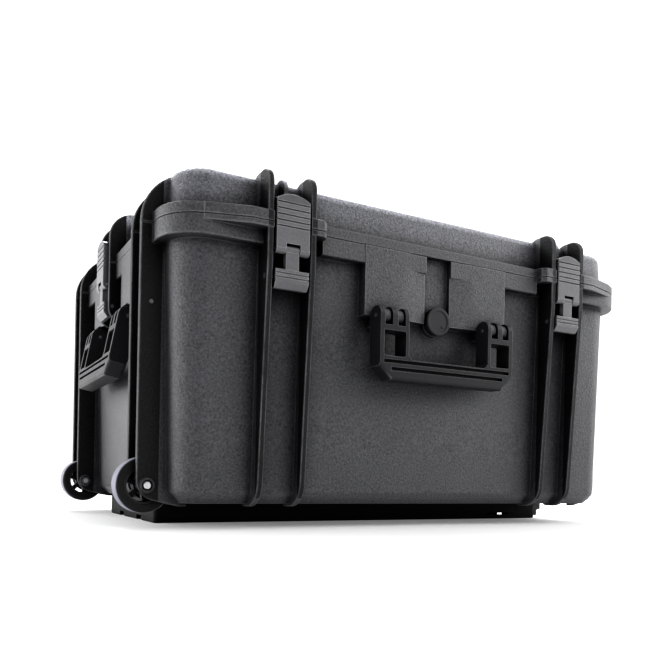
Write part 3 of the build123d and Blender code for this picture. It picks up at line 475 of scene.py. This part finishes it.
def egg_crate(name):
    """Convoluted foam of the lid: rounded peaks and valleys on the underside."""
    lo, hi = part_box("foam_lid")
    nx, ny = 216, 160
    pitch = 0.034
    xs = np.linspace(lo.x, hi.x, nx + 1)
    ys = np.linspace(lo.y, hi.y, ny + 1)
    X, Y = np.meshgrid(xs, ys, indexing="ij")
    cx, cy = (lo.x + hi.x) / 2, (lo.y + hi.y) / 2
    hx, hy, r = (hi.x - lo.x) / 2, (hi.y - lo.y) / 2, 0.026
    # pull the square grid's corners in to the rounded outline
    dx, dy = np.abs(X - cx) - (hx - r), np.abs(Y - cy) - (hy - r)
    both = (dx > 0) & (dy > 0)
    m = np.maximum(dx, dy)
    l = np.sqrt(dx ** 2 + dy ** 2)
    k = np.where(both & (l > 0), m / np.where(l > 0, l, 1), 1.0)
    X2 = np.where(both, cx + np.sign(X - cx) * (hx - r + dx * k), X)
    Y2 = np.where(both, cy + np.sign(Y - cy) * (hy - r + dy * k), Y)
    edge = np.minimum(hx - np.abs(X - cx), hy - np.abs(Y - cy))
    fade = np.clip(edge / 0.016, 0, 1)
    fade = fade * fade * (3 - 2 * fade)
    wave = 0.5 + 0.5 * np.sin(2 * np.pi * (X - cx) / pitch) * np.sin(2 * np.pi * (Y - cy) / pitch)
    wave = wave ** 0.85
    low = lo.z + 0.0012
    Z = low + (1 - fade) * 0.006 + fade * (1 - wave) * 0.019
    verts = [(float(a), float(b), float(c)) for a, b, c in
             zip(X2.ravel(), Y2.ravel(), Z.ravel())]
    off = len(verts)
    top = hi.z - 0.0004
    inset = np.clip(edge / 0.004, 0, 1)
    verts += [(float(a), float(b), float(top - (1 - i) * 0.003)) for a, b, i in
              zip(X2.ravel(), Y2.ravel(), inset.ravel())]
    idx = lambda i, j: i * (ny + 1) + j
    faces = []
    for i in range(nx):
        for j in range(ny):
            a, b, c, d = idx(i, j), idx(i + 1, j), idx(i + 1, j + 1), idx(i, j + 1)
            faces.append((d, c, b, a))
            faces.append((a + off, b + off, c + off, d + off))
    ring = ([idx(i, 0) for i in range(nx)] + [idx(nx, j) for j in range(ny)]
            + [idx(i, ny) for i in range(nx, 0, -1)] + [idx(0, j) for j in range(ny, 0, -1)])
    for a, b in zip(ring, ring[1:] + ring[:1]):
        faces.append((a, b, b + off, a + off))
    return mesh_object(name, verts, faces, MATS["foam_grey"], "lid", "foam_grey")


foam_lid = egg_crate("foam_lid_soft")
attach(foam_lid, "lid")
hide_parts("foam_lid")


# ------------------------------------------------------------------ the stage
def stage_material():
    m = Tree("studio_floor")
    cloud = m.noise(1.3, 3.0, 0.5)
    tone = m.mix(m.ramp(cloud, (0.35, 0.0), (0.7, 1.0)), (0.86, 0.86, 0.86), (0.90, 0.90, 0.90))
    m.link(tone, m.bsdf.inputs["Base Color"])
    m.bsdf.inputs["Roughness"].default_value = 0.65
    m.bsdf.inputs["Specular IOR Level"].default_value = 0.2
    m.bsdf.inputs["Emission Color"].default_value = (1, 1, 1, 1)
    m.bsdf.inputs["Emission Strength"].default_value = 0.15
    return m.mat


bpy.ops.mesh.primitive_plane_add(size=60.0, location=(0, 0, 0))
floor = bpy.context.object
floor.name = "studio_floor"
floor.data.materials.append(stage_material())

# studio surroundings: brightness by direction, ring values every 45 degrees from +Y
LOW = (1.30, 1.30, 1.30, 0.20, 0.05, 0.30, 4.00, 4.00)     # at the horizon
MID = (1.60, 2.60, 3.60, 3.60, 0.90, 0.30, 0.90, 0.80)     # 35 degrees up
TOP = 0.8                                                  # overhead
world = bpy.data.worlds.new("studio")
world.use_nodes = True
scene.world = world
wt = world.node_tree
wt.nodes.clear()


def wmath(op, a, b=None, clamp=False):
    n = wt.nodes.new("ShaderNodeMath")
    n.operation = op
    n.use_clamp = clamp
    for i, v in enumerate((a, b)):
        if v is None:
            continue
        if isinstance(v, (int, float)):
            n.inputs[i].default_value = v
        else:
            wt.links.new(v, n.inputs[i])
    return n.outputs[0]


def ring(position, values):
    n = wt.nodes.new("ShaderNodeValToRGB")
    r = n.color_ramp
    values = list(values) + [values[0]]
    r.elements[0].position, r.elements[1].position = 0.0, 1.0
    for k in range(1, 8):
        r.elements.new(k / 8)
    for e in r.elements:
        v = values[round(e.position * 8)] / 4
        e.color = (v, v, v, 1)
    wt.links.new(position, n.inputs["Fac"])
    return n.outputs["Color"]


sky = wt.nodes.new("ShaderNodeTexCoord").outputs["Generated"]
sep = wt.nodes.new("ShaderNodeSeparateXYZ")
wt.links.new(sky, sep.inputs[0])
turn = wmath("DIVIDE", wmath("ARCTAN2", sep.outputs[0], sep.outputs[1]), 2 * math.pi)
turn = wmath("FRACT", wmath("ADD", turn, 1.0))
height = wmath("MULTIPLY", wmath("ARCSINE", sep.outputs[2]), 180 / math.pi)
w_low = wmath("SUBTRACT", 1.0, wmath("DIVIDE", wmath("MAXIMUM", height, 0.0), 35.0), True)
w_mid = wmath("SUBTRACT", 1.0, wmath("DIVIDE", wmath("ABSOLUTE", wmath("SUBTRACT", height, 35.0)),
                                     35.0), True)
w_top = wmath("DIVIDE", wmath("SUBTRACT", height, 35.0), 35.0, True)
total = wmath("ADD", wmath("MULTIPLY", ring(turn, LOW), w_low),
              wmath("MULTIPLY", ring(turn, MID), w_mid))
total = wmath("ADD", wmath("MULTIPLY", total, 4.0), wmath("MULTIPLY", w_top, TOP))
back = wt.nodes.new("ShaderNodeBackground")
wt.links.new(total, back.inputs["Strength"])
wout = wt.nodes.new("ShaderNodeOutputWorld")
wt.links.new(back.outputs[0], wout.inputs[0])


def softbox(name, at, aim, size, power, color=(1, 1, 1)):
    light = bpy.data.lights.new(name, "AREA")
    light.shape = "RECTANGLE"
    light.size, light.size_y = size
    light.energy = power
    light.color = color
    o = bpy.data.objects.new(name, light)
    o.location = at
    o.rotation_mode = "QUATERNION"
    o.rotation_quaternion = (Vector(aim) - Vector(at)).to_track_quat("-Z", "Y")
    COLL.objects.link(o)
    return o


softbox("rim_back", (0.2, 1.3, 1.9), (0.0, -0.1, 0.37), (2.2, 0.9), 50)
softbox("low_left", (-2.2, 1.0, 0.35), (-0.34, 0.1, 0.10), (0.9, 0.5), 24)
softbox("key_right", (2.3, -1.1, 1.0), (0.1, -0.1, 0.25), (0.9, 1.2), 14)

# --------------------------------------------------------------------- camera
cam_data = bpy.data.cameras.new("camera")
cam_data.sensor_width = 36.0
cam_data.lens = 714.0 * 36.0 / 650.0
cam_data.shift_x = (325.0 - 309.95) / 650.0
cam_data.shift_y = (476.74 - 325.0) / 650.0
cam_data.clip_start, cam_data.clip_end = 0.05, 60
camera = bpy.data.objects.new("camera", cam_data)
COLL.objects.link(camera)
yaw, pitch, roll = math.radians(27.86), math.radians(-0.08), math.radians(1.13)
fwd = Vector((math.sin(yaw) * math.cos(pitch), math.cos(yaw) * math.cos(pitch), math.sin(pitch)))
rt = Vector((math.cos(yaw), -math.sin(yaw), 0))
up = rt.cross(fwd)
cr = rt * math.cos(roll) + up * math.sin(roll)
cu = up * math.cos(roll) - rt * math.sin(roll)
camera.matrix_world = Matrix((
    (cr.x, cu.x, -fwd.x, -0.5225),
    (cr.y, cu.y, -fwd.y, -0.9204),
    (cr.z, cu.z, -fwd.z, 0.05815),
    (0, 0, 0, 1)))
scene.camera = camera
scene.view_settings.view_transform = "Standard"
scene.view_settings.look = "Medium High Contrast"
